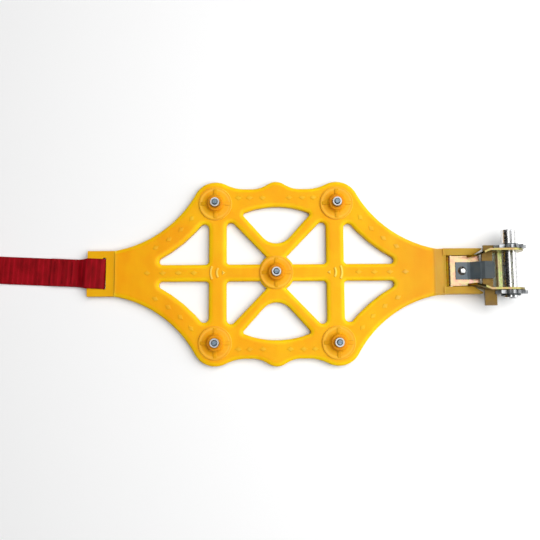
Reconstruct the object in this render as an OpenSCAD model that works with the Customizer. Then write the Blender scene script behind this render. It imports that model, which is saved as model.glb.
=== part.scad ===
// Strap-on tyre traction pad: a moulded TPU lattice with five steel studs, a webbing strap
// at one end and a hinged ratchet buckle at the other. Millimetres, +Z up.
// The pad lies studs up. The origin is on its underside, under the centre stud.

/* [Pad] */
// Distance of the corner studs from the centre, along the pad
hub_x = 55; // [54:0.5:56]
// Distance of the corner studs from the centre, across the pad
hub_y = 63; // [62:0.5:64]
// Thickness of the lattice
pad_t = 7; // [6.5:0.5:7.5]
// Half the width of the two ends
end_half_w = 20.8; // [20.4:0.2:21.2]
// Width of the cross bars
bar_w = 15.2; // [14:0.2:16]
// Radius of a stud boss
boss_r = 15; // [14:0.5:15.5]
// Height of a stud boss above the floor
boss_z = 12; // [11:0.5:13]

/* [Studs] */
// Radius of a steel stud body
stud_r = 4.4; // [4:0.1:4.6]
// Height of the stud body above the floor
stud_z = 16.5; // [15:0.5:17]
// Radius of the hard core in a stud
core_r = 2.8; // [2.4:0.1:3]

/* [Strap] */
// Width of the webbing
strap_w = 25; // [24:0.5:26]
// Thickness of the webbing
strap_t = 1.6; // [1.4:0.1:1.6]
// Angle of the strap to the pad, in degrees
strap_yaw = -2.8; // [-3:0.1:0]
// Radius of the rolled-up strap
roll_r = 18; // [17:0.5:19]

/* [Buckle] */
// Diameter of the hinge pin
pin_d = 4; // [3.6:0.1:4.2]
// Thickness of the frame's steel sheet
sheet = 1.8; // [1.6:0.1:1.8]
// Distance from the hinge pin to the winding spool
spool_reach = 50.2; // [49.8:0.2:50.4]
// Radius of the split spool
spool_r = 6.5; // [6:0.1:6.5]
// Width of the slot through the spool
spool_slot = 2.6; // [2.2:0.2:3]
// Number of teeth on a ratchet wheel
teeth = 12; // [12]
// Radius over the teeth
wheel_r = 14.4; // [14.2:0.1:14.5]

/* [Hidden] */
$fn = 64;
fit = 0.02;
eps = 0.01;

// Outline of the pad: arcs that run into each other
neck_x = 146;
neck_r = 104;
neck_cx = 164;
neck_cy = end_half_w + sqrt(neck_r ^ 2 - (neck_cx - neck_x) ^ 2);
lobe_r = norm([neck_cx - hub_x, neck_cy - hub_y]) - neck_r;
bump_y = 83.8;
bump_r = 13;
dip_y = 77;
dip_x = 28;
dip_r = ((hub_x - dip_x) ^ 2 + (dip_y - hub_y) ^ 2 - lobe_r ^ 2) / (2 * (lobe_r - dip_y + hub_y));
bump_dip_x = 22;
bump_dip_r = 25;
rim_w = 20.8;
bar_x = 53;
half_bar = bar_w / 2;
half_post = half_bar + 0.4;
hub_disc_r = 16.6;

// Left end: slot and bar for the strap
end_x = -170.5;
end_t = 5.6;
step_x = -145.4;
slot_x0 = -157;
slot_x1 = -153.6;
slot_half = 14.4;
groove_z = 2.2;

// Right end: fork for the buckle
fork_x = 151.6;
fork_half = 14;
fork_z = 11;
arm_end = 184;

// Buckle
pin_x = 156.5;
pin_z = 6;
pin_r = pin_d / 2;
pin_half_len = 18;
eye_r = pin_r + 0.06 + sheet;
web_z1 = pin_z + eye_r;
web_z0 = web_z1 - sheet;
spool_x = pin_x + spool_reach;
spool_z = 15.2;
narrow_half = 13.4;
wide_half = 18.1;
flare_x0 = 176;
flare_x1 = 187;
web_end = 181.5;
cheek_r = 12;
bearing_r = spool_r + 0.05;

// Wheels and spool
wheel_y = wide_half + 0.5;
wheel_t = 3;
root_r = 10.8;
tooth_step = 360 / teeth;
tooth_phase = 172.2;
spool_y0 = -25.3;
spool_y1 = 35.9;
clip_t = 1.2;
clip_r = spool_r - 0.8;
chamfer = 0.8;

// Locking plate: it slides along pawl_angle, out of the teeth
pawl_angle = 162;
pawl_travel = 3.3;
pawl_t = 2.5;
pawl_z0 = 14;
pawl_nose = 194;
pawl_ear_x0 = 183.6;
pawl_mid_x0 = 182;
pawl_mid_x1 = 191.2;
pawl_gap = 0.35;
pawl_tab = -31.4;
pawl_short = 22;

// Leaf spring, as the centre line of its strip in X and Z
leaf_w = 15.5;
leaf_t = 0.8;
rivet_x = 165.9;
leaf_z = web_z1 + leaf_t / 2 + fit;
leaf_path = [
    [160, leaf_z], [170.4, leaf_z], [173, 11.2], [180.4, 16.8], [184, 18], [190.6, 17.9], [192, 17.3], [193, 16.2]
];

// Strap: the centre line of the webbing in X and Z, from the stitched end round the bar and out
lay_z = strap_t / 2 + 0.15;
bar_top = end_t + strap_t / 2 + 0.2;
strap_pivot = [(end_x + slot_x0) / 2, 0];
loop_path = [
    [-204, lay_z + strap_t], [-180, lay_z + strap_t], [-175, 4.2], [-171.5, bar_top],
    [-156.4, bar_top], [-155.3, 5.2], [-155.3, 2.2], [-156.6, lay_z], [-272, lay_z]
];
roll_x = -272;
roll_core = 5;
tie_w = 10;
tie_t = 1;

hubs = [[0, 0], [-hub_x, hub_y], [hub_x, hub_y], [-hub_x, -hub_y], [hub_x, -hub_y]];
hub_names = ["centre", "rear_left", "rear_right", "front_left", "front_right"];

function arc(c, r, a0, a1, n) = [for (i = [0:n]) let (a = a0 + (a1 - a0) * i / n) c + r * [cos(a), sin(a)]];
function flip_x(p) = [for (i = [len(p) - 1:-1:0]) [-p[i][0], p[i][1]]];
function flip_y(p) = [for (i = [len(p) - 1:-1:0]) [p[i][0], -p[i][1]]];
function unit(v) = v / norm(v);

// One corner of a polygon, rounded to radius r, between the points a and b
function corner(a, p, b, r, n) =
    let (u = unit(a - p), v = unit(b - p), half = acos(u * v) / 2, c = p + unit(u + v) * r / sin(half),
         from = p + u * r / tan(half) - c, to = p + v * r / tan(half) - c,
         a0 = atan2(from[1], from[0]), turn = atan2(from[0] * to[1] - from[1] * to[0], from * to))
    arc(c, r, a0, a0 + turn, n);

// A polygon whose corners have the radii given, 0 for a sharp one
function rounded(points, radii, n = 8) = [
    for (i = [0:len(points) - 1])
        let (m = len(points), a = points[(i + m - 1) % m], b = points[(i + 1) % m])
        each radii[i] == 0 ? [points[i]] : corner(a, points[i], b, radii[i], n)
];

// The angle at which the straight line leaves the bump's dip
bump_c = [0, bump_y - bump_r];
bump_dip_c = [bump_dip_x, dip_y + bump_dip_r];
bump_line = atan2(bump_c[1] - bump_dip_c[1], bump_c[0] - bump_dip_c[0]) + 360
    + acos((bump_r + bump_dip_r) / norm(bump_c - bump_dip_c));

function quarter() =
    let (neck = [neck_cx, neck_cy], hub = [hub_x, hub_y], dip = [dip_x, dip_y + dip_r],
         neck_start = atan2(end_half_w - neck_cy, neck_x - neck_cx) + 360,
         neck_stop = atan2(hub_y - neck_cy, hub_x - neck_cx) + 360,
         lobe_stop = atan2(dip[1] - hub_y, dip[0] - hub_x))
    concat(
        arc(neck, neck_r, neck_start, neck_stop, 20),
        arc(hub, lobe_r, neck_stop - 180, lobe_stop, 20),
        arc(dip, dip_r, lobe_stop + 180, 270, 8),
        arc(bump_dip_c, bump_dip_r, 270, bump_line, 6),
        arc(bump_c, bump_r, bump_line - 180, 90, 5)
    );

module outline_2d() {
    half = concat(quarter(), flip_x(quarter()));
    polygon(concat(half, flip_x(flip_y(half))));
}

// The curved inner edge of the rim, at x
function rim_y(x) = neck_cy - sqrt((neck_r + rim_w) ^ 2 - (neck_cx - x) ^ 2);

module outer_window() {
    x0 = bar_x + half_post;
    knee = [95, rim_y(95)];
    polygon(rounded(
        [[x0, half_bar], [114, half_bar], knee, [84, rim_y(84)], [73, rim_y(73)], [x0, rim_y(x0) - 1]],
        [3, 3.2, 0, 0, 0, 4.2]
    ));
}

module inner_window() {
    x0 = bar_x - half_post;
    slope = 1.044;
    top = 52;
    polygon(rounded(
        [[x0, half_bar], [x0, top], [x0 - (top - half_bar) / slope, half_bar]],
        [3, 4, 0]
    ));
}

module sector_window() {
    top_y = 60.5;
    top_r = 81;
    side_x = 31.5;
    apex_y = 18.8;
    side_y = top_y - top_r + sqrt(top_r ^ 2 - side_x ^ 2);
    crown = arc([0, top_y - top_r], top_r, 90 - 16, 90 + 16, 8);
    polygon(rounded(
        concat([[0, apex_y], [side_x, side_y]], crown, [[-side_x, side_y]]),
        concat([16, 2], [for (p = crown) 0], [2])
    ));
}

module lattice_2d() {
    difference() {
        outline_2d();
        for (mx = [0, 1], my = [0, 1]) mirror([mx, 0]) mirror([0, my]) {
            outer_window();
            inner_window();
        }
        for (my = [0, 1]) mirror([0, my]) sector_window();
    }
    circle(hub_disc_r);
}

// Shallow cone with a step at its foot and a collar round the stud
module boss() {
    rotate_extrude() polygon([
        [0, pad_t - 1], [boss_r, pad_t - 1], [boss_r, pad_t + 1], [boss_r - 1, pad_t + 1.8],
        [stud_r + 3.2, boss_z - 1.2], [stud_r + 2.6, boss_z], [0, boss_z]
    ]);
}

module boss_ribs() {
    rib_w = 2.4;
    foot = boss_r - 1.6;
    top_z = boss_z - 0.4;
    for (a = [0:90:270]) rotate(a) across(-rib_w / 2, rib_w / 2)
        polygon([[2, pad_t], [foot, pad_t], [foot, pad_t + 2.4], [stud_r + 3, top_z], [2, top_z]]);
}

module left_end() {
    difference() {
        translate([end_x, -end_half_w, 0]) cube([step_x - end_x, 2 * end_half_w, end_t]);
        translate([slot_x0, -slot_half, -1]) cube([slot_x1 - slot_x0, 2 * slot_half, end_t + 2]);
        translate([end_x - 1, -slot_half, -1]) cube([slot_x1 - end_x + 1, 2 * slot_half, groove_z + 1]);
    }
}

module fork_arm() {
    linear_extrude(fork_z) polygon([
        [fork_x - 1, fork_half], [flare_x0 - 0.5, fork_half],
        [arm_end, end_half_w - 1.6], [arm_end, end_half_w - 0.4], [fork_x - 1, end_half_w - 0.4]
    ]);
}

module right_end() {
    ramp_x = 140.5;
    rotate([90, 0, 0]) translate([0, 0, -end_half_w + 0.4]) linear_extrude(2 * end_half_w - 0.8)
        polygon([[ramp_x - 8, 0], [fork_x, 0], [fork_x, fork_z], [ramp_x + 1, pad_t], [ramp_x - 8, pad_t]]);
    difference() {
        for (m = [0, 1]) mirror([0, m]) fork_arm();
        translate([pin_x, 0, pin_z]) rotate([90, 0, 0])
            cylinder(r = pin_r + fit, h = 2 * pin_half_len + 0.2, center = true);
    }
}

// Small raised diamonds along the rims and the bars, for grip
module grip_bumps() {
    h = 1;
    module bump(p, a) translate([p[0], p[1], pad_t - 0.5]) rotate(a) linear_extrude(0.5 + h)
        polygon([[-2.6, 0], [0, -1.6], [2.6, 0], [0, 1.6]]);
    for (mx = [0, 1], my = [0, 1]) mirror([mx, 0, 0]) mirror([0, my, 0]) {
        for (x = [12, 24, 34]) bump([x, 68.5], 0);
        for (a = [213:7:241])
            bump([neck_cx, neck_cy] + (neck_r + rim_w / 2) * [cos(a), sin(a)], a + 90);
    }
    for (m = [0, 1], x = [74, 88, 102, 116]) mirror([m, 0, 0]) bump([x, 0], 0);
}

module pad_body() color("gold") difference() {
    union() {
        linear_extrude(pad_t) lattice_2d();
        for (h = hubs) translate(h) {
            boss();
            boss_ribs();
        }
        left_end();
        right_end();
        grip_bumps();
    }
    for (h = hubs) translate(h) {
        translate([0, 0, -1]) cylinder(r = stud_r + fit, h = boss_z + 2);
        translate([0, 0, -1]) cylinder(r = stud_r + 3.6 + fit, h = 3 + fit);
    }
}

// Steel stud: a flange under the pad, a round shank, a tapered head and a blind bore for the core
module stud(h) color("silver") translate(h) difference() {
    union() {
        cylinder(r = stud_r + 3.6, h = 2);
        cylinder(r = stud_r, h = boss_z);
        translate([0, 0, boss_z - eps]) cylinder(r1 = stud_r, r2 = stud_r - 0.4, h = stud_z - boss_z);
    }
    translate([0, 0, 6]) cylinder(r = core_r + fit, h = stud_z);
}

module core(h) color("dimgray") translate(h) {
    translate([0, 0, 6]) cylinder(r = core_r, h = stud_z - 5.6);
    translate([0, 0, stud_z + 0.4 - eps]) cylinder(r1 = core_r, r2 = core_r - 0.8, h = 0.8);
}

module hinge_pin() color("silver") translate([pin_x, 0, pin_z]) rotate([90, 0, 0])
    cylinder(r = pin_r, h = 2 * pin_half_len, center = true);

// Extrudes an outline drawn in X and Z along Y, between two heights
module across(y0, y1) translate([0, y1, 0]) rotate([90, 0, 0]) linear_extrude(y1 - y0) children();

module cheek_side_2d() difference() {
    polygon(concat(
        [[163, 4], [170, 4], [182, 6], [194, 3.6]],
        arc([spool_x, spool_z], cheek_r, 270 - 12, 360 + 100, 24),
        [[182, 26], [176, 21], [170, web_z1 + 1.6], [163, web_z1]]
    ));
    pawl_slot_2d();
}

// The locking plate's section, swept along its travel, with its clearance
module pawl_slot_2d() {
    back = pawl_travel * [cos(pawl_angle), sin(pawl_angle)];
    x0 = pawl_mid_x0 - pawl_gap;
    x1 = pawl_nose + pawl_gap;
    z0 = pawl_z0 - pawl_gap;
    z1 = pawl_z0 + pawl_t + pawl_gap;
    polygon([[x0, z0], [x1, z0], [x1, z1], [x1, z1] + back, [x0, z1] + back, [x0, z0] + back]);
}

// Plan of one cheek: narrow in the fork, then flared out to the width of the spool
module cheek_plan_2d() polygon([
    [159, narrow_half - sheet], [flare_x0, narrow_half - sheet], [flare_x1, wide_half - sheet],
    [218, wide_half - sheet], [218, wide_half], [flare_x1, wide_half], [flare_x0, narrow_half], [159, narrow_half]
]);

module web_plan_2d() polygon([
    [pin_x, -narrow_half], [flare_x0, -narrow_half], [flare_x1, -wide_half], [218, -wide_half],
    [218, wide_half], [flare_x1, wide_half], [flare_x0, narrow_half], [pin_x, narrow_half]
]);

// The curved strap guard under the spool
module guard_side_2d() {
    a0 = 208;
    a1 = 262;
    polygon(concat(
        arc([spool_x, spool_z], cheek_r, a0, a1, 14),
        arc([spool_x, spool_z], cheek_r - sheet, a1, a0, 14)
    ));
}

module buckle_frame() color("lightgoldenrodyellow") difference() {
    union() {
        for (m = [0, 1]) mirror([0, m, 0]) intersection() {
            across(-20, 20) cheek_side_2d();
            linear_extrude(40) cheek_plan_2d();
        }
        intersection() {
            union() {
                translate([pin_x, -20, web_z0]) cube([web_end - pin_x, 40, sheet]);
                across(-20, 20) guard_side_2d();
            }
            linear_extrude(40) web_plan_2d();
        }
        translate([pin_x, 0, pin_z]) rotate([90, 0, 0]) cylinder(r = eye_r, h = 2 * narrow_half, center = true);
    }
    translate([pin_x, 0, pin_z]) rotate([90, 0, 0]) cylinder(r = pin_r + 0.06, h = 60, center = true);
    translate([spool_x, 0, spool_z]) rotate([90, 0, 0]) cylinder(r = bearing_r, h = 60, center = true);
    translate([rivet_x, 0, 0]) cylinder(r = 2.5 + fit, h = 20);
}

module spring_rivet() color("silver") translate([rivet_x, 0, 0]) {
    translate([0, 0, web_z0 - 1]) cylinder(r = 4, h = 1 - fit);
    translate([0, 0, web_z0 - 0.5]) cylinder(r = 2.5, h = sheet + leaf_t + 1);
    intersection() {
        translate([0, 0, web_z1 + leaf_t + fit - 2.6]) sphere(r = 4.8);
        translate([0, 0, web_z1 + leaf_t + fit]) cylinder(r = 6, h = 5);
    }
}

// A strip of constant thickness that follows the points p
function strip(p, t) =
    let (m = len(p) - 1,
         side = [for (i = [0:m])
             let (d = unit(unit(p[min(i + 1, m)] - p[min(i, m - 1)]) + unit(p[max(i, 1)] - p[max(i - 1, 0)])))
             t / 2 * [-d[1], d[0]]])
    concat([for (i = [0:m]) p[i] + side[i]], [for (i = [m:-1:0]) p[i] - side[i]]);

module leaf_spring() color("slategray") difference() {
    intersection() {
        across(-10, 10) polygon(strip(leaf_path, leaf_t));
        linear_extrude(40) polygon(rounded(
            [[159, -leaf_w / 2], [193.1, -leaf_w / 2], [193.1, leaf_w / 2], [159, leaf_w / 2]], [1, 3, 3, 1]
        ));
    }
    translate([rivet_x, 0, 0]) cylinder(r = 2.5 + fit, h = 20);
}

module locking_plate() color("darkgoldenrod") translate([0, 0, pawl_z0]) linear_extrude(pawl_t) {
    ear = wide_half - sheet - 0.6;
    polygon([
        [pawl_mid_x0, -ear], [pawl_ear_x0, -ear], [pawl_ear_x0, pawl_tab], [pawl_nose, pawl_tab], [pawl_nose, -ear],
        [pawl_mid_x1, -ear], [pawl_mid_x1, ear], [pawl_nose, ear], [pawl_nose, pawl_short], [pawl_ear_x0, pawl_short],
        [pawl_ear_x0, ear], [pawl_mid_x0, ear]
    ]);
}

// One ratchet wheel: each tooth rises slowly from the root and drops along a radius
module ratchet_wheel(y0) color("lightgray") across(y0, y0 + wheel_t) difference() {
    polygon([for (k = [0:teeth - 1]) let (a = tooth_phase + k * tooth_step)
        each [for (q = [[root_r, 0.2], [root_r, 7], [root_r, 14.5], [wheel_r, tooth_step - 1.2], [wheel_r, tooth_step - 0.2]])
            [spool_x, spool_z] + q[0] * [cos(a + q[1]), sin(a + q[1])]]]);
    translate([spool_x, spool_z]) circle(spool_r + fit);
}

// A ring round the spool's axis, between two radii, just outside the drive side's wheel or the far one
module ring(side, r0, r1, t) {
    y0 = wheel_y + wheel_t + fit;
    across(side > 0 ? y0 : -y0 - t, side > 0 ? y0 + t : -y0) translate([spool_x, spool_z]) difference() {
        circle(r1);
        circle(r0);
    }
}

module spool_half(side) color("silver") difference() {
    intersection() {
        translate([spool_x, spool_y1, spool_z]) rotate([90, 0, 0]) {
            cylinder(r1 = spool_r - chamfer, r2 = spool_r, h = chamfer);
            translate([0, 0, chamfer - eps])
                cylinder(r = spool_r, h = spool_y1 - spool_y0 - 2 * chamfer + 2 * eps);
            translate([0, 0, spool_y1 - spool_y0 - chamfer])
                cylinder(r1 = spool_r, r2 = spool_r - chamfer, h = chamfer);
        }
        translate([spool_x + (side > 0 ? spool_slot / 2 : -spool_slot / 2 - 10), -40, 0]) cube([10, 90, 40]);
    }
    for (end = [-1, 1]) ring(end, clip_r, spool_r + 2, clip_t + 2 * fit);
}

// Two retaining rings in the spool's grooves hold the wheels and the halves together
module spool_clips() color("silver") for (end = [-1, 1])
    translate([0, end * fit, 0]) ring(end, clip_r + fit, spool_r + 1.8, clip_t);

module on_strap() translate([strap_pivot[0], strap_pivot[1], 0]) rotate(strap_yaw)
    translate([-strap_pivot[0], -strap_pivot[1], 0]) children();

module strap_run() color("crimson") on_strap() across(-strap_w / 2, strap_w / 2)
    polygon(strip(loop_path, strap_t));

module strap_roll() color("crimson") on_strap() across(-strap_w / 2, strap_w / 2) difference() {
    translate([roll_x - eps, roll_r + 0.15]) circle(roll_r);
    translate([roll_x, roll_r + 0.15]) circle(roll_core);
    translate([roll_x, -1]) square([roll_r, strap_t + 1.3]);
}

module strap_stitching() color("darkred") on_strap() for (x = [-201, -193, -185])
    translate([x, -strap_w / 2 + 2, lay_z + 1.5 * strap_t + fit]) cube([0.9, strap_w - 4, 0.5]);

module strap_tie() color("black") on_strap() across(-tie_w / 2, tie_w / 2) difference() {
    translate([roll_x, roll_r + 0.15]) circle(roll_r + tie_t);
    translate([roll_x, roll_r + 0.15]) circle(roll_r + fit);
    translate([roll_x - 7, -2]) square([30, 4.6]);
}

for (i = [0:4]) {
    stud(hubs[i]);
    core(hubs[i]);
}
pad_body();
hinge_pin();
buckle_frame();
spring_rivet();
leaf_spring();
locking_plate();
ratchet_wheel(wheel_y);  // ratchet_wheel_drive
ratchet_wheel(-wheel_y - wheel_t);  // ratchet_wheel_far
spool_half(-1);  // spool_half_inner
spool_half(1);  // spool_half_outer
spool_clips();
strap_run();
strap_roll();
strap_stitching();
strap_tie();
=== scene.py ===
"""Strap-on tyre traction pad: the looks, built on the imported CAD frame. Lengths are in millimetres
until a mesh is made, and metres after that."""

import math

import bmesh
import bpy
from mathutils import Matrix, Vector


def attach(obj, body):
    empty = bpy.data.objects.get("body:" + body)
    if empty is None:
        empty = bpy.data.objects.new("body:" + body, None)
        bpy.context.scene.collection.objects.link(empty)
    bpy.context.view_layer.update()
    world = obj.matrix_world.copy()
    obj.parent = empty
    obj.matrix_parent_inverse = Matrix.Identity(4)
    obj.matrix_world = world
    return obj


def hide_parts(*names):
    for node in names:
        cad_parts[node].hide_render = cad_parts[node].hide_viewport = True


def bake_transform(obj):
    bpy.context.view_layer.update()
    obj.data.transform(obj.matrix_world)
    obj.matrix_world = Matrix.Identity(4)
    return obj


MM = 0.001

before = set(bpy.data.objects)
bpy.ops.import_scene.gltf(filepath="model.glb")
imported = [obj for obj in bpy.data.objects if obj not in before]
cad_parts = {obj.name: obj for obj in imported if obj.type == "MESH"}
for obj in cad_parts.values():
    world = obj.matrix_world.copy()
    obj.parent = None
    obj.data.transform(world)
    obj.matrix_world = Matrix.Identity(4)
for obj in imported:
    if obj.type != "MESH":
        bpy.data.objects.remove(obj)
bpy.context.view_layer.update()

# The pad, as in the CAD: five hubs on a lattice of two cross posts and one long bar
HUB_X, HUB_Y = 55, 63
HUBS = [(0, 0), (-HUB_X, HUB_Y), (HUB_X, HUB_Y), (-HUB_X, -HUB_Y), (HUB_X, -HUB_Y)]
HUB_NAMES = ["centre", "rear_left", "rear_right", "front_left", "front_right"]
HUB_DISC_R = 16.6
BOSS_R, BOSS_Z = 15.0, 12.0
STUD_R, FLANGE_R = 4.4, 8.0
PAD_T = 7.0
BAR_X, HALF_BAR, HALF_POST = 53.0, 7.6, 8.0

# Its outline: hollow necks, a lobe round each corner hub, and a bump in the middle between dips
END_HALF = 20.8
NECK_X, NECK_R, NECK_CX = 146.0, 104.0, 164.0
NECK_CY = END_HALF + math.sqrt(NECK_R**2 - (NECK_CX - NECK_X) ** 2)
LOBE_R = math.hypot(NECK_CX - HUB_X, NECK_CY - HUB_Y) - NECK_R
DIP_X, DIP_Y = 28.0, 77.0
DIP_R = ((HUB_X - DIP_X) ** 2 + (DIP_Y - HUB_Y) ** 2 - LOBE_R**2) / (2 * (LOBE_R - DIP_Y + HUB_Y))
BUMP_Y, BUMP_R = 83.8, 13.0
BUMP_DIP_X, BUMP_DIP_R = 22.0, 25.0
RIM_W = 20.8

# Its strap end, stepped down, with a slot through it and a groove below. The PAST values lie clear of it.
END_X, END_T = -170.5, 5.6
STEP_X = -145.6
SLOT_X0, SLOT_X1, SLOT_HALF, GROOVE_Z = -157.0, -153.6, 14.4, 2.2
PAST_END_X, PAST_Y, PAST_Z = -190.0, 30.0, 20.0

# Its fork, at the top of a ramp
RAMP_X, FORK_X, FORK_HALF, FORK_Z = 140.8, 151.6, 14.0, 11.0
ARM_HALF, ARM_END = END_HALF - 0.4, 184.0
FLARE_X0 = 176.0

# The buckle: its leaf spring bends between these. Tints that change with height are given up to TALL.
LEAF_FREE_X, LEAF_NOSE_X = 171.5, 187.0
TALL = 30.0

# The strap, as in the CAD
STRAP_W, STRAP_T = 25.0, 1.6
STRAP_YAW = math.radians(-2.8)
STRAP_PIVOT = (-163.75, 0.0)
LAY_Z = 0.95
BAR_TOP = 6.6
ROLL_X, ROLL_R, ROLL_CORE = -272.0, 18.0, 5.0
ROLL_Z = ROLL_R + 0.15


# ---------------------------------------------------------------- camera, floor and light

def make_camera():
    """Almost straight above, leaning a little to the front"""
    distance = 0.62
    elevation = math.radians(83)
    roll = math.radians(-0.35)
    target = Vector((-0.0058, 0.0022, 0.007))
    back = Vector((0, -math.cos(elevation), math.sin(elevation)))
    data = bpy.data.cameras.new("camera")
    data.lens = 46
    data.sensor_width = 36
    data.clip_start = 0.01
    camera = placed("camera", data)
    camera.location = target + distance * back
    turn = back.to_track_quat("Z", "Y") @ Matrix.Rotation(roll, 3, "Z").to_quaternion()
    camera.rotation_euler = turn.to_euler()
    bpy.context.scene.camera = camera


def placed(name, data):
    """An object for the data, in the scene"""
    made = bpy.data.objects.new(name, data)
    bpy.context.scene.collection.objects.link(made)
    return made


def make_light(name, where, size, watts):
    """A rectangular panel that faces the middle of the object"""
    data = bpy.data.lights.new(name, "AREA")
    data.shape = "RECTANGLE"
    data.size, data.size_y = size
    data.energy = watts
    light = placed(name, data)
    light.location = where
    light.rotation_euler = Vector(where).to_track_quat("Z", "Y").to_euler()


def make_world():
    """A dim surround that is brighter towards +X"""
    world = bpy.data.worlds.new("studio")
    world.use_nodes = True
    tree = world.node_tree
    at = tree.nodes.new("ShaderNodeTexCoord")
    side = tree.nodes.new("ShaderNodeSeparateXYZ")
    level = tree.nodes.new("ShaderNodeMapRange")
    tree.links.new(at.outputs["Generated"], side.inputs["Vector"])
    tree.links.new(side.outputs["X"], level.inputs["Value"])
    level.inputs["From Min"].default_value = -0.8
    level.inputs["From Max"].default_value = 0.5
    level.inputs["To Min"].default_value = 0.26
    level.inputs["To Max"].default_value = 0.8
    tree.links.new(level.outputs["Result"], tree.nodes["Background"].inputs["Strength"])
    bpy.context.scene.world = world


def make_floor():
    """Pale paper just under the object"""
    bm = bmesh.new()
    bmesh.ops.create_grid(bm, x_segments=2, y_segments=2, size=3)
    mesh = bpy.data.meshes.new("floor")
    bm.to_mesh(mesh)
    bm.free()
    floor = placed("floor", mesh)
    floor.location.z = -0.2 * MM
    paper = Paint("floor_paper", Base_Color=(0.95, 0.95, 0.95, 1), Roughness=0.9)
    floor.data.materials.append(paper.material)


def make_studio():
    """Two panels high on the right, a dim surround and the floor"""
    make_light("panel_above", (0.5, 0.1, 1.1), (1.8, 1.8), 27.4)
    make_light("panel_right", (1.5, 0.1, 0.7), (1.1, 1.1), 5.5)
    make_world()
    make_floor()
    bpy.context.scene.view_settings.view_transform = "Standard"


# ---------------------------------------------------------------- materials

class Paint:
    """A Principled material, with short calls for the nodes behind its colour, roughness and bump."""

    def __init__(self, name, **values):
        self.material = bpy.data.materials.new(name)
        self.material.use_nodes = True
        self.tree = self.material.node_tree
        self.shader = self.tree.nodes["Principled BSDF"]
        for key, value in values.items():
            self.shader.inputs[key.replace("_", " ")].default_value = value

    def node(self, kind, **inputs):
        """A node of the kind. Each input is a value or another node's output."""
        made = self.tree.nodes.new("ShaderNode" + kind)
        for key, value in inputs.items():
            socket = made.inputs[key.replace("_", " ")]
            if isinstance(value, bpy.types.NodeSocket):
                self.tree.links.new(value, socket)
            else:
                socket.default_value = value
        return made

    def place(self, scale=(1, 1, 1), space="Object"):
        """Coordinates in millimetres, stretched by scale"""
        at = self.tree.nodes.new("ShaderNodeTexCoord")
        mapping = self.tree.nodes.new("ShaderNodeMapping")
        self.tree.links.new(at.outputs[space], mapping.inputs["Vector"])
        factor = 1.0 if space == "UV" else 1000.0
        mapping.inputs["Scale"].default_value = [factor * s for s in scale]
        return mapping.outputs["Vector"]

    def noise(self, size_mm, detail=3.0, stretch=(1, 1, 1), space="Object"):
        """Soft noise with patches about size_mm across, longer where stretch is small"""
        at = self.place([s / size_mm for s in stretch], space)
        return self.node("TexNoise", Vector=at, Scale=1.0, Detail=detail).outputs["Fac"]

    def ramp(self, factor, *stops):
        """The colour at factor, between stops of position and colour"""
        made = self.tree.nodes.new("ShaderNodeValToRGB")
        self.tree.links.new(factor, made.inputs["Fac"])
        elements = made.color_ramp.elements
        while len(elements) < len(stops):
            elements.new(0.5)
        for element, (position, colour) in zip(elements, stops):
            element.position = position
            element.color = (*colour, 1)
        return made.outputs["Color"]

    def mix(self, factor, a, b, blend="MIX"):
        """Colour a turning into colour b, or blended with it, by factor"""
        made = self.tree.nodes.new("ShaderNodeMix")
        made.data_type = "RGBA"
        made.blend_type = blend
        for name, kind, value in (("Factor", "VALUE", factor), ("A", "RGBA", a), ("B", "RGBA", b)):
            socket = next(s for s in made.inputs if s.name == name and s.type == kind)
            if isinstance(value, bpy.types.NodeSocket):
                self.tree.links.new(value, socket)
            else:
                socket.default_value = value
        return next(s for s in made.outputs if s.type == "RGBA")

    def times(self, *colours):
        """The colours multiplied together"""
        product = colours[0]
        for colour in colours[1:]:
            product = self.mix(1.0, product, colour, "MULTIPLY")
        return product

    def axis(self, name):
        """The X, Y or Z of the point, in millimetres"""
        return self.node("SeparateXYZ", Vector=self.place()).outputs[name]

    def share(self, value, low, high):
        """value as a share of the way from low to high"""
        made = self.node("MapRange", Value=value)
        made.inputs["From Min"].default_value = low
        made.inputs["From Max"].default_value = high
        return made.outputs["Result"]

    def by_height(self, levels):
        """A tint that changes with height: levels are heights in millimetres and their tints"""
        height = self.share(self.axis("Z"), 0, TALL)
        return self.ramp(height, *[(z / TALL, tint) for z, tint in levels])

    def between(self, factor, low, high):
        """factor, from 0.3 to 0.7 as noise gives it, spread over low to high"""
        made = self.node("MapRange", Value=factor)
        made.inputs["From Min"].default_value = 0.3
        made.inputs["From Max"].default_value = 0.7
        made.inputs["To Min"].default_value = low
        made.inputs["To Max"].default_value = high
        return made.outputs["Result"]

    def link(self, socket, value):
        self.tree.links.new(value, self.shader.inputs[socket])

    def bump(self, *layers):
        """Each layer is a height from 0 to 1 and the depth in millimetres that it stands for"""
        normal = None
        for height, depth in layers:
            made = self.node("Bump", Height=height, Strength=1.0, Distance=depth * MM)
            if normal is not None:
                self.tree.links.new(normal, made.inputs["Normal"])
            normal = made.outputs["Normal"]
        self.link("Normal", normal)


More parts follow.
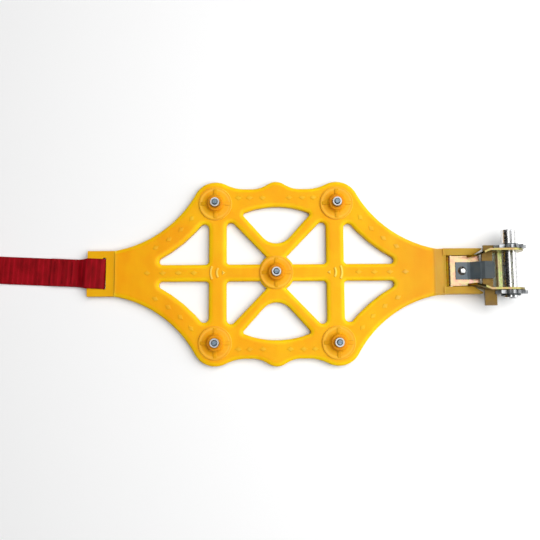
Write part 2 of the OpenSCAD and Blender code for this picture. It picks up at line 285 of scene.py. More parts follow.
def amber_with_painted_light(paint):
    """The resin's colour, by height on the lattice and its bosses and by place along X at the two ends, with
    painted light in it: painted shade low on the sides, a painted highlight on the raised marks and the
    bosses' edge ring, a painted highlight on the strap end's step and painted shade on the fork.
    """
    # Darker brown low on the sides is painted shade; the light tan band at 0.65 (7.8 mm) is a painted
    # highlight on the mark tops and the bosses' edge ring.
    rise = paint.ramp(
        paint.share(paint.axis("Z"), 0, BOSS_Z),
        (0.0, (0.40, 0.22, 0.02)),
        (0.2, (0.62, 0.36, 0.02)),
        (0.45, (0.94, 0.60, 0.008)),
        (0.553, (0.95, 0.56, 0.006)),
        (0.583, (0.92, 0.43, 0.004)),
        (0.588, (0.92, 0.43, 0.004)),
        (0.612, (0.94, 0.46, 0.01)),
        (0.65, (1.0, 0.66, 0.12)),
        (0.70, (0.88, 0.40, 0.012)),
        (0.78, (0.86, 0.36, 0.008)),
        (1.0, (0.80, 0.30, 0.008)),
    )
    along = paint.share(paint.axis("X"), END_X, ARM_END)

    def at(x):
        return (x - END_X) / (ARM_END - END_X)

    step = at(STEP_X)
    # The narrow bright band at the step is a painted highlight on the step's face.
    ends = paint.ramp(
        along,
        (0.0, (0.86, 0.68, 0.6)),
        (step - 0.002, (0.86, 0.68, 0.6)),
        (step, (1.02, 1.1, 6.0)),
        (step + 0.002, (1.02, 1.1, 6.0)),
        (step + 0.005, (0.96, 0.88, 0.8)),
        (0.2, (0.97, 0.9, 0.9)),
        (0.3, (1.0, 1.0, 1.0)),
        (0.72, (1.0, 1.0, 1.0)),
        (0.82, (0.90, 0.86, 2.5)),
        (1.0, (0.90, 0.84, 2.5)),
    )
    # The fork's ramp and arms are darkened in painted shade, with top and side faces given different shades
    # by their facing (on_top).
    arm_root_x = FORK_X - 2.6
    ramp, arm = at(RAMP_X), at(arm_root_x)
    arm_painted_shade = (0.54, 0.33, 0.045)
    fork_top_shaded = paint.ramp(along, (arm, (0.77, 0.44, 0.08)), (arm + 0.004, arm_painted_shade))
    fork_side_shaded = paint.ramp(along, (ramp, (0.92, 0.54, 0.012)), (arm + 0.04, arm_painted_shade))
    on_fork = paint.ramp(along, (ramp, (0.0, 0.0, 0.0)), (ramp + 0.006, (1.0, 1.0, 1.0)))
    normal = paint.tree.nodes.new("ShaderNodeNewGeometry").outputs["Normal"]
    on_top = paint.share(paint.node("SeparateXYZ", Vector=normal).outputs["Z"], 0.2, 0.6)
    return paint.mix(on_fork, paint.times(rise, ends), paint.mix(on_top, fork_side_shaded, fork_top_shaded))


def tpu():
    """Moulded polyurethane that lets a little light in, with faint flow marks"""
    paint = Paint("tpu", Roughness=0.36, IOR=1.45, Specular_IOR_Level=0.09)
    paint.shader.inputs["Subsurface Weight"].default_value = 0.18
    paint.shader.inputs["Subsurface Radius"].default_value = (1.0, 0.5, 0.06)
    paint.shader.inputs["Subsurface Scale"].default_value = 3.0 * MM
    cloud = paint.ramp(paint.noise(34, 2.0), (0.38, (1.0, 0.93, 0.8)), (0.62, (1.0, 1.06, 1.0)))
    flow = paint.noise(9, 4.0, (1, 0.35, 1))
    streak = paint.ramp(flow, (0.35, (0.97, 0.95, 0.9)), (0.65, (1.0, 1.03, 1.0)))
    paint.link("Base Color", paint.times(amber_with_painted_light(paint), cloud, streak))
    paint.link("Roughness", paint.between(paint.noise(5, 3.0), 0.3, 0.46))
    paint.bump((paint.noise(14, 2.0), 0.16), (paint.noise(0.6, 2.0), 0.012))
    return paint.material


def plated(name, tints, roughness, grain=0.006, levels=()):
    """Zinc-plated steel: the passivation's tints drift over the surface, with a fine tumbled grain.
    levels are heights in millimetres and the tint that multiplies the colour there, which paints light and
    shade by height."""
    paint = Paint(name, Metallic=1.0)
    drift = paint.noise(7, 2.5)
    step = 1.0 / (len(tints) - 1)
    colour = paint.ramp(drift, *[(0.3 + 0.4 * i * step, tint) for i, tint in enumerate(tints)])
    if levels:
        colour = paint.times(colour, paint.by_height(levels))
    speck = paint.ramp(paint.noise(0.5, 2.0), (0.3, (0.9, 0.9, 0.9)), (0.6, (1, 1, 1)))
    paint.link("Base Color", paint.times(colour, speck))
    paint.link("Roughness", paint.between(paint.noise(2.2, 3.0), *roughness))
    paint.bump((paint.noise(0.35, 2.0), grain), (paint.noise(5, 2.0), 0.03))
    return paint.material


def blued_steel():
    """Tempered spring strip, drawn lengthwise"""
    paint = Paint("spring_steel", Metallic=0.15, Specular_IOR_Level=0.35)
    tint = paint.ramp(
        paint.noise(9, 2.0),
        (0.35, (0.052, 0.066, 0.080)),
        (0.5, (0.062, 0.080, 0.095)),
        (0.65, (0.072, 0.082, 0.090)),
    )
    # The strip's colour is raised from 9.6 mm up and dropped above 17.6 mm, where the nose is darkened in
    # painted shade.
    height_tint_with_nose_shade = paint.by_height([
        (9.6, (1.2, 1.2, 1.2)),
        (10.6, (1.45, 1.45, 1.4)),
        (16.8, (1.45, 1.45, 1.4)),
        (17.6, (0.6, 0.62, 0.58)),
    ])
    paint.link("Base Color", paint.times(tint, height_tint_with_nose_shade))
    drawn = paint.noise(0.5, 2.0, (0.06, 1, 1))
    paint.link("Roughness", paint.between(drawn, 0.36, 0.5))
    paint.bump((drawn, 0.01))
    return paint.material


def carbide():
    """Sintered hard metal, dark and slightly pitted"""
    paint = Paint("hard_core", Metallic=1.0)
    tint = paint.ramp(paint.noise(1.6, 3.0), (0.35, (0.08, 0.115, 0.15)), (0.65, (0.17, 0.21, 0.25)))
    paint.link("Base Color", tint)
    paint.link("Roughness", paint.between(paint.noise(0.7, 3.0), 0.28, 0.5))
    paint.bump((paint.noise(0.5, 3.0), 0.02))
    return paint.material


def bands(paint, pitch, direction, distortion, stretch=(1, 1, 1)):
    """Regular bands across a woven band's UV, pitch in millimetres apart"""
    scale = math.pi / 10 / pitch
    wave = paint.node("TexWave", Vector=paint.place(stretch, "UV"), Scale=scale, Distortion=distortion)
    wave.bands_direction = direction
    return wave


def webbing():
    """Deep red polyester webbing: weft ribs lean across it, and yarns run along it. UV is in millimetres."""
    paint = Paint("webbing", Sheen_Weight=0.05, Sheen_Roughness=0.45, Specular_IOR_Level=0.12)
    paint.shader.inputs["Sheen Tint"].default_value = (1.0, 0.25, 0.35, 1)
    yarn = bands(paint, 0.54283, "Y", 0.6)
    yarn.inputs["Detail Scale"].default_value = 2.0
    rib = bands(paint, 4.488, "X", 0.8, (1, 0.2, 1))
    patch = paint.noise(6, 3.0, (1, 0.4, 1), "UV")
    base = paint.ramp(
        patch,
        (0.35, (0.23, 0.0, 0.003)),
        (0.5, (0.30, 0.001, 0.005)),
        (0.65, (0.36, 0.002, 0.008)),
    )
    # Darker between the ribs, with a painted sheen on the rib crests.
    rib_sheen = paint.ramp(
        rib.outputs["Fac"],
        (0.0, (0.88, 0.86, 0.84)),
        (0.9, (1.0, 1.0, 1.0)),
        (0.99, (1.25, 1.7, 2.0)),
    )
    fine = paint.ramp(yarn.outputs["Fac"], (0.1, (0.72, 0.72, 0.72)), (0.6, (1.05, 1.05, 1.05)))
    paint.link("Base Color", paint.times(base, rib_sheen, fine))
    paint.link("Roughness", paint.between(patch, 0.55, 0.72))
    paint.bump((yarn.outputs["Fac"], 0.05), (paint.noise(0.3, 2.0, (1, 1, 1), "UV"), 0.04))
    return paint.material


def thread():
    """Red polyester sewing thread"""
    paint = Paint("thread", Roughness=0.6, Specular_IOR_Level=0.15)
    tint = paint.ramp(paint.noise(0.8, 2.0), (0.35, (0.20, 0.001, 0.006)), (0.65, (0.40, 0.004, 0.016)))
    paint.link("Base Color", tint)
    paint.bump((paint.noise(0.25, 2.0), 0.03))
    return paint.material


def elastic():
    """Matt black rubber of the band round the roll"""
    paint = Paint("tie_rubber", Roughness=0.7)
    tint = paint.ramp(paint.noise(1.5, 3.0), (0.35, (0.018, 0.018, 0.02)), (0.65, (0.04, 0.04, 0.043)))
    paint.link("Base Color", tint)
    paint.link("Roughness", paint.between(paint.noise(3, 3.0), 0.55, 0.8))
    paint.bump((paint.noise(0.4, 3.0), 0.03))
    return paint.material


# ---------------------------------------------------------------- meshes

def solid(name, points, faces, sharp_deg=32):
    """An object from points in millimetres"""
    mesh = bpy.data.meshes.new(name)
    mesh.from_pydata([Vector(p) * MM for p in points], [], faces)
    piece = placed(name, mesh)
    smooth(piece, sharp_deg)
    return piece


def smooth(piece, sharp_deg=32):
    """Smooth shading, with edges sharper than sharp_deg kept"""
    mesh = piece.data
    mesh.validate()
    for face in mesh.polygons:
        face.use_smooth = True
    mesh.set_sharp_from_angle(angle=math.radians(sharp_deg))


def piece_from(bm, name, sharp_deg=32):
    """An object from a bmesh in millimetres, which is freed"""
    bmesh.ops.recalc_face_normals(bm, faces=bm.faces)
    bmesh.ops.scale(bm, vec=(MM, MM, MM), verts=bm.verts)
    mesh = bpy.data.meshes.new(name)
    bm.to_mesh(mesh)
    bm.free()
    piece = placed(name, mesh)
    smooth(piece, sharp_deg)
    return piece


def arc(cx, cy, r, a0, a1, n):
    """n + 1 points on a circle, from angle a0 to angle a1"""
    angles = [a0 + (a1 - a0) * i / n for i in range(n + 1)]
    return [(cx + r * math.cos(a), cy + r * math.sin(a)) for a in angles]


def corner(a, p, b, r, n=8):
    """The corner p between a and b, rounded to radius r"""
    a, p, b = Vector(a), Vector(p), Vector(b)
    u, v = (a - p).normalized(), (b - p).normalized()
    half = u.angle(v) / 2
    c = p + (u + v).normalized() * r / math.sin(half)
    start = p + u * r / math.tan(half) - c
    stop = p + v * r / math.tan(half) - c
    a0 = math.atan2(start.y, start.x)
    turn = math.atan2(start.x * stop.y - start.y * stop.x, start.dot(stop))
    return arc(c.x, c.y, r, a0, a0 + turn, n)


def rounded(points, radii):
    """A closed loop whose corners are rounded, each to its own radius"""
    out = []
    for i, (p, r) in enumerate(zip(points, radii)):
        if r == 0:
            out.append(tuple(p))
        else:
            out += corner(points[i - 1], p, points[(i + 1) % len(points)], r)
    return out


def flipped(loop, sx, sy):
    """The loop mirrored, still running the same way round"""
    out = [(sx * x, sy * y) for x, y in loop]
    return out if sx * sy > 0 else out[::-1]


def thinned(loop, least=0.05):
    """The loop without points that repeat"""
    return [p for i, p in enumerate(loop) if math.dist(p, loop[i - 1]) > least]


def area2(loop):
    """Twice the loop's area, positive where it runs anticlockwise"""
    return sum(loop[i - 1][0] * p[1] - p[0] * loop[i - 1][1] for i, p in enumerate(loop))


def inset(loop, d):
    """Every point moved d to the left of the loop's direction, where the material is"""
    out = []
    for i in range(len(loop)):
        before = (Vector(loop[i]) - Vector(loop[i - 1])).normalized()
        after = (Vector(loop[(i + 1) % len(loop)]) - Vector(loop[i])).normalized()
        n0, n1 = Vector((-before.y, before.x)), Vector((-after.y, after.x))
        n = (n0 + n1).normalized()
        out.append(tuple(Vector(loop[i]) + n * d / max(0.5, n.dot(n1))))
    return out


def plate(bm, outline, holes, profile):
    """A moulded plate. profile is (inset, height) pairs from the bottom edge up to the top edge."""
    loops = [outline if area2(outline) > 0 else outline[::-1]]
    loops += [h if area2(h) < 0 else h[::-1] for h in holes]
    first, last = [], []
    for loop in loops:
        rings = []
        for d, z in profile:
            rings.append([bm.verts.new((x, y, z)) for x, y in inset(loop, d)])
        for low, high in zip(rings, rings[1:]):
            for i in range(len(loop)):
                bm.faces.new((low[i - 1], low[i], high[i], high[i - 1]))
        first.append(rings[0])
        last.append(rings[-1])
    for caps in (first, last):
        edges = [bm.edges.get((ring[i - 1], ring[i])) for ring in caps for i in range(len(ring))]
        bmesh.ops.triangle_fill(bm, edges=edges, use_beauty=True)


def lathe(bm, profile, centre, steps=64):
    """A solid of revolution about the vertical through centre. profile starts and ends on the axis."""
    cx, cy = centre
    angles = [2 * math.pi * k / steps for k in range(steps)]
    rings = []
    for r, z in profile[1:-1]:
        rings.append([bm.verts.new((cx + r * math.cos(a), cy + r * math.sin(a), z)) for a in angles])
    for low, high in zip(rings, rings[1:]):
        for k in range(steps):
            bm.faces.new((low[k - 1], low[k], high[k], high[k - 1]))
    for ring, z in ((rings[0], profile[0][1]), (rings[-1], profile[-1][1])):
        tip = bm.verts.new((cx, cy, z))
        for k in range(steps):
            bm.faces.new((ring[k - 1], ring[k], tip))


def prism(bm, outline, low, high, axis="Z", bevel=0.0):
    """outline swept between two levels of the axis: Z for a plan, Y for a side view in X and Z"""
    def at(p, t):
        return (p[0], p[1], t) if axis == "Z" else (p[0], t, p[1])
    a = [bm.verts.new(at(p, low)) for p in outline]
    b = [bm.verts.new(at(p, high)) for p in outline]
    faces = [bm.faces.new(a), bm.faces.new(b)]
    for i in range(len(outline)):
        faces.append(bm.faces.new((a[i - 1], a[i], b[i], b[i - 1])))
    if bevel:
        edges = {e for f in faces for e in f.edges}
        bmesh.ops.recalc_face_normals(bm, faces=faces)
        bmesh.ops.bevel(bm, geom=list(edges), offset=bevel, segments=3, affect="EDGES", profile=0.5)


def boolean(piece, other, operation):
    """piece joined with or cut by other, which is used up"""
    modifier = piece.modifiers.new("boolean", "BOOLEAN")
    modifier.operation = operation
    modifier.solver = "EXACT"
    modifier.object = other
    apply_modifiers(piece)
    bpy.data.objects.remove(other)


def cut(piece, outline, low, high, axis="Z"):
    """piece without the prism of outline between low and high"""
    bm = bmesh.new()
    prism(bm, outline, low, high, axis)
    boolean(piece, piece_from(bm, "cut"), "DIFFERENCE")


def apply_modifiers(piece):
    """piece's mesh becomes what its modifiers make of it"""
    graph = bpy.context.evaluated_depsgraph_get()
    mesh = bpy.data.meshes.new_from_object(piece.evaluated_get(graph))
    piece.modifiers.clear()
    piece.data = mesh


def joined(name, pieces):
    """One piece of all the pieces, which are used up"""
    bm = bmesh.new()
    for piece in pieces:
        bm.from_mesh(piece.data)
        bpy.data.objects.remove(piece)
    mesh = bpy.data.meshes.new(name)
    bm.to_mesh(mesh)
    bm.free()
    return placed(name, mesh)


# ---------------------------------------------------------------- the pad

def rim_y(x):
    """Where the rim's inner edge is, beside the neck"""
    return NECK_CY - math.sqrt((NECK_R + RIM_W) ** 2 - (NECK_CX - x) ** 2)


def quarter_outline():
    """From the neck round the corner lobe to the middle bump, as in the CAD"""
    neck_start = math.atan2(END_HALF - NECK_CY, NECK_X - NECK_CX) + 2 * math.pi
    neck_stop = math.atan2(HUB_Y - NECK_CY, HUB_X - NECK_CX) + 2 * math.pi
    dip_cy = DIP_Y + DIP_R
    lobe_stop = math.atan2(dip_cy - HUB_Y, DIP_X - HUB_X)
    bump_cy = BUMP_Y - BUMP_R
    join_cy = DIP_Y + BUMP_DIP_R
    gap = math.hypot(BUMP_DIP_X, bump_cy - join_cy)
    line = math.atan2(bump_cy - join_cy, -BUMP_DIP_X) + 2 * math.pi + math.acos((BUMP_R + BUMP_DIP_R) / gap)
    return (
        arc(NECK_CX, NECK_CY, NECK_R, neck_start, neck_stop, 40)
        + arc(HUB_X, HUB_Y, LOBE_R, neck_stop - math.pi, lobe_stop, 36)
        + arc(DIP_X, dip_cy, DIP_R, lobe_stop + math.pi, 1.5 * math.pi, 14)
        + arc(BUMP_DIP_X, join_cy, BUMP_DIP_R, 1.5 * math.pi, line, 10)
        + arc(0, bump_cy, BUMP_R, line - math.pi, math.pi / 2, 8)
    )


def pad_outline():
    """It runs past the strap end, which is trimmed after the edges are rounded"""
    right = quarter_outline()
    top = [(FORK_X, END_HALF)] + right + flipped(right, -1, 1)
    past = END_X - 8
    top += corner((-NECK_X, END_HALF), (past, END_HALF), (past, 0), 6)
    return thinned(top + [(x, -y) for x, y in top[::-1]])


def outer_window():
    """Between the cross post, the long bar and the rim of the neck"""
    x0 = BAR_X + HALF_POST
    rim = [(x, rim_y(x)) for x in (95, 84, 73)]
    return rounded(
        [(x0, HALF_BAR), (114, HALF_BAR), *rim, (x0, rim_y(x0) - 1)],
        [3, 3.2, 0, 0, 0, 4.2],
    )


def inner_window():
    """A triangle beside the middle, its tip taken by the centre hub's disc"""
    x0 = BAR_X - HALF_POST
    slope, top = 1.044, 52.0
    foot = x0 - (top - HALF_BAR) / slope
    low = math.atan2(HALF_BAR, math.sqrt(HUB_DISC_R**2 - HALF_BAR**2))
    lean = math.atan(slope)
    reach = HALF_BAR * math.cos(lean) - foot * math.sin(lean)
    high = lean + math.asin(reach / HUB_DISC_R)
    disc = arc(0, 0, HUB_DISC_R, high, low, 12)
    return rounded([(x0, HALF_BAR), (x0, top)] + disc, [3, 4] + [0] * len(disc))


def sector_window():
    """Above the middle, with its point towards the centre hub and a crown along the rim"""
    top_y, top_r, side_x, apex_y = 60.5, 81.0, 31.5, 18.8
    side_y = top_y - top_r + math.sqrt(top_r**2 - side_x**2)
    spread = math.radians(16)
    crown = arc(0, top_y - top_r, top_r, math.pi / 2 - spread, math.pi / 2 + spread, 16)
    points = [(0, apex_y), (side_x, side_y)] + crown + [(-side_x, side_y)]
    return rounded(points, [16, 2] + [0] * len(crown) + [2])


def end_trim():
    """What is cut away beyond the strap end, which keeps its small corner radii"""
    side = END_X + 0.8
    low = corner((side, -END_HALF), (END_X, -END_HALF), (END_X, 0), 0.8, 5)
    near = [(PAST_END_X, -PAST_Y), (side, -PAST_Y)] + low
    return near + [(x, -y) for x, y in near[::-1]]


def lattice():
    """The rims and bars, with a small radius below and a crowned edge above"""
    edge = [
        (0.6, 0.0), (0.15, 0.15), (0.0, 0.6), (0.0, 4.6), (0.25, 5.4), (0.8, 6.0),
        (1.6, 6.4), (2.7, 6.72), (3.8, 6.92), (4.5, PAD_T), (4.75, PAD_T),
    ]
    holes = []
    for sx in (1, -1):
        for sy in (1, -1):
            holes += [flipped(outer_window(), sx, sy), flipped(inner_window(), sx, sy)]
    holes += [flipped(sector_window(), 1, sy) for sy in (1, -1)]
    bm = bmesh.new()
    plate(bm, pad_outline(), [thinned(h) for h in holes], edge)
    return piece_from(bm, "pad")


def boss_profile():
    """A disc with a lip ring, then a shallow cone that rises to a collar round the stud"""
    rim = [(BOSS_R, 7.9), (BOSS_R - 0.3, 8.3), (BOSS_R - 0.8, 8.4), (BOSS_R - 1.4, 8.3), (BOSS_R - 2.1, 8.2)]
    cone = [(9.6, 8.65), (8.5, 9.1), (7.7, 10.0), (7.2, 11.0), (6.9, 11.7), (6.4, BOSS_Z)]
    return [(0, 3.0), (BOSS_R, 3.0)] + rim + cone + [(5.4, BOSS_Z), (4.8, 11.7), (0, 11.7)]


def stud_hole_profile():
    """Room for a stud and for its flange, which is moulded into the underside"""
    gap = 0.05
    flange_r, stud_r, flange_top = FLANGE_R + gap, STUD_R + gap, 3.0 + gap
    return [(0, -1), (flange_r, -1), (flange_r, flange_top), (stud_r, flange_top), (stud_r, 14), (0, 14)]


def hub_ribs(bm, centre):
    """Four low ribs run down the boss from its collar"""
    foot, tip = BOSS_R - 1.4, 6.6
    side = [(tip, 7.6), (foot, 7.6), (foot, 8.3), (foot - 1.2, 8.75), (8.6, 9.5), (7.6, 10.7), (tip, 10.7)]
    for k in range(4):
        part = bmesh.new()
        prism(part, side, -1.8, 1.8, "Y", bevel=0.6)
        bmesh.ops.rotate(part, matrix=Matrix.Rotation(k * math.pi / 2, 3, "Z"), verts=part.verts)
        bmesh.ops.translate(part, vec=(*centre, 0), verts=part.verts)
        add(bm, part)


def add(bm, part):
    """Adds one bmesh to another"""
    mesh = bpy.data.meshes.new("part")
    part.to_mesh(mesh)
    part.free()
    bm.from_mesh(mesh)
    bpy.data.meshes.remove(mesh)


def raised(bm, outline, base_z, height, shrink=0.45):
    """A low mark with sloping sides"""
    loop = outline if area2(outline) > 0 else outline[::-1]
    side = [(0, -0.6), (0, 0), (shrink * 0.4, height * 0.75), (shrink, height)]
    plate(bm, loop, [], [(d, base_z + z) for d, z in side])


def diamond(x, y, angle, long=3.4, wide=2.3):
    """long and wide are half its length and half its width"""
    turn = Matrix.Rotation(angle, 2)
    return [tuple(turn @ Vector(p) + Vector((x, y))) for p in ((-long, 0), (0, -wide), (long, 0), (0, wide))]


def grip_marks(bm):
    """Diamonds for grip along the rims and the bars"""
    h = 0.4
    r = NECK_R + RIM_W / 2
    for sx in (1, -1):
        for sy in (1, -1):
            for x in (12, 24, 34):
                raised(bm, diamond(sx * x, sy * 68.5, 0), PAD_T, h)
            for deg in range(213, 242, 7):
                a = math.radians(deg)
                x, y = NECK_CX + r * math.cos(a), NECK_CY + r * math.sin(a)
                raised(bm, diamond(sx * x, sy * y, sx * sy * (a + math.pi / 2)), PAD_T, h)
        for x in (74, 88, 102, 116):
            raised(bm, diamond(sx * x, 0, 0), PAD_T, h)


def crossing_marks(bm):
    """At each crossing a small wedge and two arcs point to the middle"""
    height, shrink, centre_x = 0.8, 0.35, 46
    for s in (1, -1):
        wedge = [(s * 45.8, 0), (s * 48.6, -1.9), (s * 48.6, 1.9)]
        raised(bm, wedge, PAD_T, height, shrink)
        for r, half_deg in ((7.5, 34), (13.0, 27)):
            half = math.radians(half_deg)
            outer = arc(centre_x, 0, r + 1.0, -half, half, 12)
            inner = arc(centre_x, 0, r - 1.0, half, -half, 12)
            raised(bm, [(s * x, y) for x, y in outer + inner], PAD_T, height, shrink)


def fork_ramp():
    """The slope up to the fork. Its foot is sunk in the neck."""
    bm = bmesh.new()
    side = [(137, 2), (FORK_X, 2), (FORK_X, FORK_Z), (RAMP_X + 0.4, 6.9), (137, 6)]
    prism(bm, side, -ARM_HALF, ARM_HALF, "Y", bevel=0.6)
    return piece_from(bm, "fork_ramp")


def fork_arm(side):
    """One arm of the fork, cut back inside where the buckle's cheeks flare"""
    bm = bmesh.new()
    root = FORK_X - 2.5
    plan = [
        (root, FORK_HALF), (FLARE_X0 - 0.5, FORK_HALF),
        (ARM_END, ARM_HALF - 1.2), (ARM_END, ARM_HALF), (root, ARM_HALF),
    ]
    prism(bm, [(x, side * y) for x, y in plan], 0, FORK_Z, bevel=0.45)
    return piece_from(bm, "fork_arm")


def cut_strap_end(pad):
    """The strap end: trimmed, stepped down, grooved below for the strap and slotted through"""
    cut(pad, end_trim(), -5, PAST_Z)
    foot, top = STEP_X - 0.6, STEP_X + 0.7
    step = [(foot, END_T), (top, 7.4), (top, PAST_Z), (PAST_END_X, PAST_Z), (PAST_END_X, END_T)]
    cut(pad, step, -PAST_Y, PAST_Y, "Y")
    groove = [(PAST_END_X, -1), (SLOT_X1, -1), (SLOT_X1, GROOVE_Z), (PAST_END_X, GROOVE_Z)]
    cut(pad, groove, -SLOT_HALF, SLOT_HALF, "Y")
    slot = [(SLOT_X0, -SLOT_HALF), (SLOT_X1, -SLOT_HALF), (SLOT_X1, SLOT_HALF), (SLOT_X0, SLOT_HALF)]
    cut(pad, rounded(slot, [1.2] * 4), -1, PAST_Z)


def make_pad(material):
    """The whole moulding, which replaces the CAD solid"""
    pad = lattice()
    cut_strap_end(pad)
    boolean(pad, fork_ramp(), "UNION")
    for side in (1, -1):
        boolean(pad, fork_arm(side), "UNION")
    for hub in HUBS:
        bm = bmesh.new()
        lathe(bm, boss_profile(), hub)
        boolean(pad, piece_from(bm, "boss"), "UNION")
        bm = bmesh.new()
        lathe(bm, stud_hole_profile(), hub)
        boolean(pad, piece_from(bm, "stud_hole"), "DIFFERENCE")
    marks = bmesh.new()
    grip_marks(marks)
    crossing_marks(marks)
    for hub in HUBS:
        hub_ribs(marks, hub)
    whole = joined("pad_moulding", [pad, piece_from(marks, "marks")])
    smooth(whole, 28)
    finish_piece(whole, material, "tpu", "pad", "pad_body")


def finish_piece(piece, material, slot, body, *nodes):
    """piece gets its material, rides on its body and stands for the CAD nodes"""
    piece.data.materials.clear()
    piece.data.materials.append(material)
    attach(piece, body)
    if nodes:
        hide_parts(*nodes)
    return piece


# ---------------------------------------------------------------- the strap

def filleted(points, radii, step):
    """The line through points, with its corners rounded, as points about step apart"""
    path = [points[0]]
    for i in range(1, len(points) - 1):
        path += corner(points[i - 1], points[i], points[i + 1], radii[i - 1], 10)
    path.append(points[-1])
    return spaced(path, step)


def spaced(path, step):
    """Points a step apart along the path"""
    out = [path[0]]
    left = step
    for a, b in zip(path, path[1:]):
        long = math.dist(a, b)
        at = left
        while at <= long:
            t = at / long
            out.append((a[0] + (b[0] - a[0]) * t, a[1] + (b[1] - a[1]) * t))
            at += step
        left = at - long
    return out


def strap_path():
    """In X and Z: from the stitched end over the bar, back under it, out along the floor, into the roll"""
    over = LAY_Z + STRAP_T
    points = [
        (-204, over), (-180, over), (-174.5, 4.6), (-171.2, BAR_TOP), (-155.2, BAR_TOP), (-155.2, LAY_Z),
        (ROLL_X, LAY_Z),
    ]
    path = filleted(points, [5, 3, 3, 2.4, 1.2], 0.4)
    pitch = STRAP_T + 0.05
    r0 = ROLL_Z - LAY_Z
    turns = (r0 - ROLL_CORE - STRAP_T / 2) / pitch
    n = int(turns * 90)
    spiral = []
    for i in range(1, n + 1):
        turn = turns * i / n
        a = -math.pi / 2 - 2 * math.pi * turn
        r = r0 - pitch * turn
        spiral.append((ROLL_X + r * math.cos(a), ROLL_Z + r * math.sin(a)))
    return path[:-1] + spaced([(ROLL_X, LAY_Z)] + spiral, 0.4)


def yawed(x, y, z):
    """A point of the strap, which leaves the bar at a slight angle"""
    c, s = math.cos(STRAP_YAW), math.sin(STRAP_YAW)
    dx, dy = x - STRAP_PIVOT[0], y - STRAP_PIVOT[1]
    return (STRAP_PIVOT[0] + c * dx - s * dy, STRAP_PIVOT[1] + s * dx + c * dy, z)


def spread(x):
    """How much wider the webbing lies where it turns round the bar"""
    t = min(1, max(0, (x + 180) / 12))
    return 1 + 0.09 * t * t * (3 - 2 * t)


def ribbon(name, path, width, thick, rib_pitch, rib_depth, lean):
    """A woven band along path, with leaning weft ribs on both faces and a round selvedge at each side.
    Its UVs are the distance along the band and across it, in millimetres."""
    half = width / 2 - 0.35
    across = 12
    spans = [-half + 2 * half * k / across for k in range(across + 1)]
    points, faces, places = [], [], []
    along = 0.0
    count = 2 * len(spans) + 2
    for i, (x, z) in enumerate(path):
        ahead, behind = path[min(i + 1, len(path) - 1)], path[max(i - 1, 0)]
        tx, tz = ahead[0] - behind[0], ahead[1] - behind[1]
        size = math.hypot(tx, tz)
        nx, nz = -tz / size, tx / size
        if i:
            along += math.dist(path[i], path[i - 1])
        ring = []
        for face in (1, -1):
            ordered = spans if face == 1 else spans[::-1]
            for y in ordered:
                wave = math.cos(2 * math.pi * (along + lean * y) / rib_pitch)
                h = face * (thick / 2 - rib_depth * (0.5 - 0.5 * wave))
                ring.append((h, y))
            ring.append((0, face * width / 2))
        for h, y in ring:
            points.append(yawed(x + nx * h, y * spread(x), z + nz * h))
            places.append((along, y))
        if i:
            a, b = (i - 1) * count, i * count
            for k in range(count):
                j = (k + 1) % count
                faces.append((a + k, a + j, b + j, b + k))
    faces.append(tuple(range(count)))
    faces.append(tuple(range(len(points) - 1, len(points) - count - 1, -1)))
    piece = solid(name, points, faces, 60)
    uv = piece.data.uv_layers.new(name="UVMap")
    for loop in piece.data.loops:
        uv.data[loop.index].uv = places[loop.vertex_index]
    return piece


def stitch_line(bm, points, thick):
    """A round thread along points"""
    sides = 6
    rings = []
    for i, p in enumerate(points):
        ahead, behind = Vector(points[min(i + 1, len(points) - 1)]), Vector(points[max(i - 1, 0)])
        t = (ahead - behind).normalized()
        u = t.cross(Vector((0, 0, 1))).normalized()
        v = u.cross(t)
        rings.append([
            bm.verts.new(Vector(p) + thick / 2 * (math.cos(a) * u + math.sin(a) * v))
            for a in [2 * math.pi * k / sides for k in range(sides)]
        ])
    for a, b in zip(rings, rings[1:]):
        for k in range(sides):
            bm.faces.new((a[k - 1], a[k], b[k], b[k - 1]))
    bm.faces.new(rings[0])
    bm.faces.new(rings[-1][::-1])


def make_stitching(material):
    """Zigzag bar tacks across the doubled end"""
    bm = bmesh.new()
    top = LAY_Z + 1.5 * STRAP_T
    for x in (-201, -193, -185):
        line = []
        rows = 46
        half = STRAP_W / 2 - 2
        for k in range(rows + 1):
            side = 1.1 if k % 2 else -1.1
            y = -half + 2 * half * k / rows
            dip = 0.05 if k % 2 else -0.02
            line.append(yawed(x + side, y, top + 0.12 + dip))
        stitch_line(bm, line, 0.42)
    piece = piece_from(bm, "bar_tacks", 60)
    return finish_piece(piece, material, "thread", "pad", "strap_stitching")


def make_tie(material):
    """The rubber band that keeps the roll closed. It is open where the strap runs out."""
    bm = bmesh.new()
    start, stop = math.radians(-48), math.radians(246)
    one_side = [(0.0, 4.2), (0.05, 4.6), (0.35, 5.0), (0.75, 4.8), (1.0, 4.2)]
    section = one_side + [(dr, -y) for dr, y in one_side[::-1]]
    steps = 120
    rings = []
    for i in range(steps + 1):
        a = start + (stop - start) * i / steps
        ring = []
        for dr, y in section:
            r = ROLL_R + 0.05 + dr
            ring.append(bm.verts.new(yawed(ROLL_X + r * math.cos(a), y, ROLL_Z + r * math.sin(a))))
        rings.append(ring)
    for a, b in zip(rings, rings[1:]):
        for k in range(len(section)):
            bm.faces.new((a[k - 1], a[k], b[k], b[k - 1]))
    bm.faces.new(rings[0])
    bm.faces.new(rings[-1][::-1])
    return finish_piece(piece_from(bm, "roll_band", 40), material, "tie_rubber", "pad", "strap_tie")


def make_strap(material, thread_material, tie_material):
    path = strap_path()
    strap = ribbon("webbing", path, STRAP_W, STRAP_T - 0.05, 1.6, 0.16, 0.2)
    finish_piece(strap, material, "webbing", "pad", "strap_run", "strap_roll")
    tacks = make_stitching(thread_material)
    tie = make_tie(tie_material)


# ---------------------------------------------------------------- steel parts

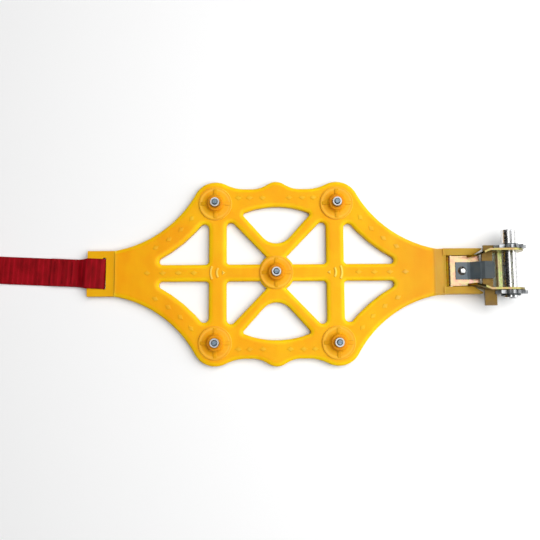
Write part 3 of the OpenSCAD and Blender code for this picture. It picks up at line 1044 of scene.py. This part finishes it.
def paint_node(name, material, bevel=0.0):
    """A CAD node keeps its shape and gets its finish, and a fine bevel on its edges"""
    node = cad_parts[name]
    for slot in node.material_slots:
        slot.link = "OBJECT"
        slot.material = material
    if bevel:
        modifier = node.modifiers.new("edges", "BEVEL")
        modifier.width = bevel * MM
        modifier.segments = 2
        modifier.limit_method = "ANGLE"
        modifier.angle_limit = math.radians(35)
        modifier.harden_normals = True


def make_leaf(material):
    """The leaf spring: the CAD mesh cut across in 1 mm steps from LEAF_FREE_X, where it bends. In the buckle
    its root stays on the frame and its nose rides up with the locking plate.
    """
    bm = bmesh.new()
    bm.from_mesh(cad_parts["leaf_spring"].data)
    for step in range(16):
        parts = bm.verts[:] + bm.edges[:] + bm.faces[:]
        place = ((LEAF_FREE_X + step) * MM, 0, 0)
        bmesh.ops.bisect_plane(bm, geom=parts, plane_co=place, plane_no=(1, 0, 0))
    mesh = bpy.data.meshes.new("leaf_strip")
    bm.to_mesh(mesh)
    bm.free()
    leaf = placed("leaf_strip", mesh)
    smooth(leaf)
    leaf.data.materials.clear()
    leaf.data.materials.append(material)
    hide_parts("leaf_spring")
    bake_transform(leaf)


make_camera()
make_studio()

yellow = plated(
    "yellow_zinc",
    [(0.42, 0.27, 0.18), (0.46, 0.36, 0.20), (0.40, 0.42, 0.20), (0.46, 0.32, 0.24)],
    (0.24, 0.4),
    # The levels paint light by height: a painted highlight on the low guard, the web tinted pinker, and
    # painted shade on the cheeks above it.
    levels=[
        (8.2, (1.6, 1.9, 1.5)),
        (9.0, (1.0, 0.82, 0.9)),
        (10.6, (1.0, 0.82, 0.9)),
        (11.6, (0.66, 0.62, 0.42)),
    ],
)
# The locking plate's yellow zinc, much darker than the frame's, is painted shade.
shaded_yellow_zinc = plated(
    "yellow_zinc_shaded", [(0.095, 0.058, 0.016), (0.13, 0.08, 0.022), (0.11, 0.07, 0.030)], (0.34, 0.5), 0.01
)
bright = plated("bright_zinc", [(0.66, 0.67, 0.69), (0.78, 0.78, 0.78), (0.70, 0.70, 0.68)], (0.18, 0.34))
dull = plated("bright_zinc_dull", [(0.26, 0.27, 0.28), (0.36, 0.37, 0.38), (0.30, 0.30, 0.29)], (0.28, 0.44))
blued = blued_steel()
core = carbide()

make_pad(tpu())
make_strap(webbing(), thread(), elastic())
for hub in HUB_NAMES:
    paint_node("stud_" + hub, dull, 0.3)
    paint_node("core_" + hub, core)
paint_node("hinge_pin", bright, 0.2)
paint_node("buckle_frame", yellow, 0.35)
paint_node("spring_rivet", bright)
make_leaf(blued)
paint_node("locking_plate", shaded_yellow_zinc, 0.3)
for wheel in ("ratchet_wheel_drive", "ratchet_wheel_far"):
    paint_node(wheel, dull, 0.2)
for half in ("spool_half_inner", "spool_half_outer"):
    paint_node(half, bright, 0.3)
paint_node("spool_clips", blued, 0.15)
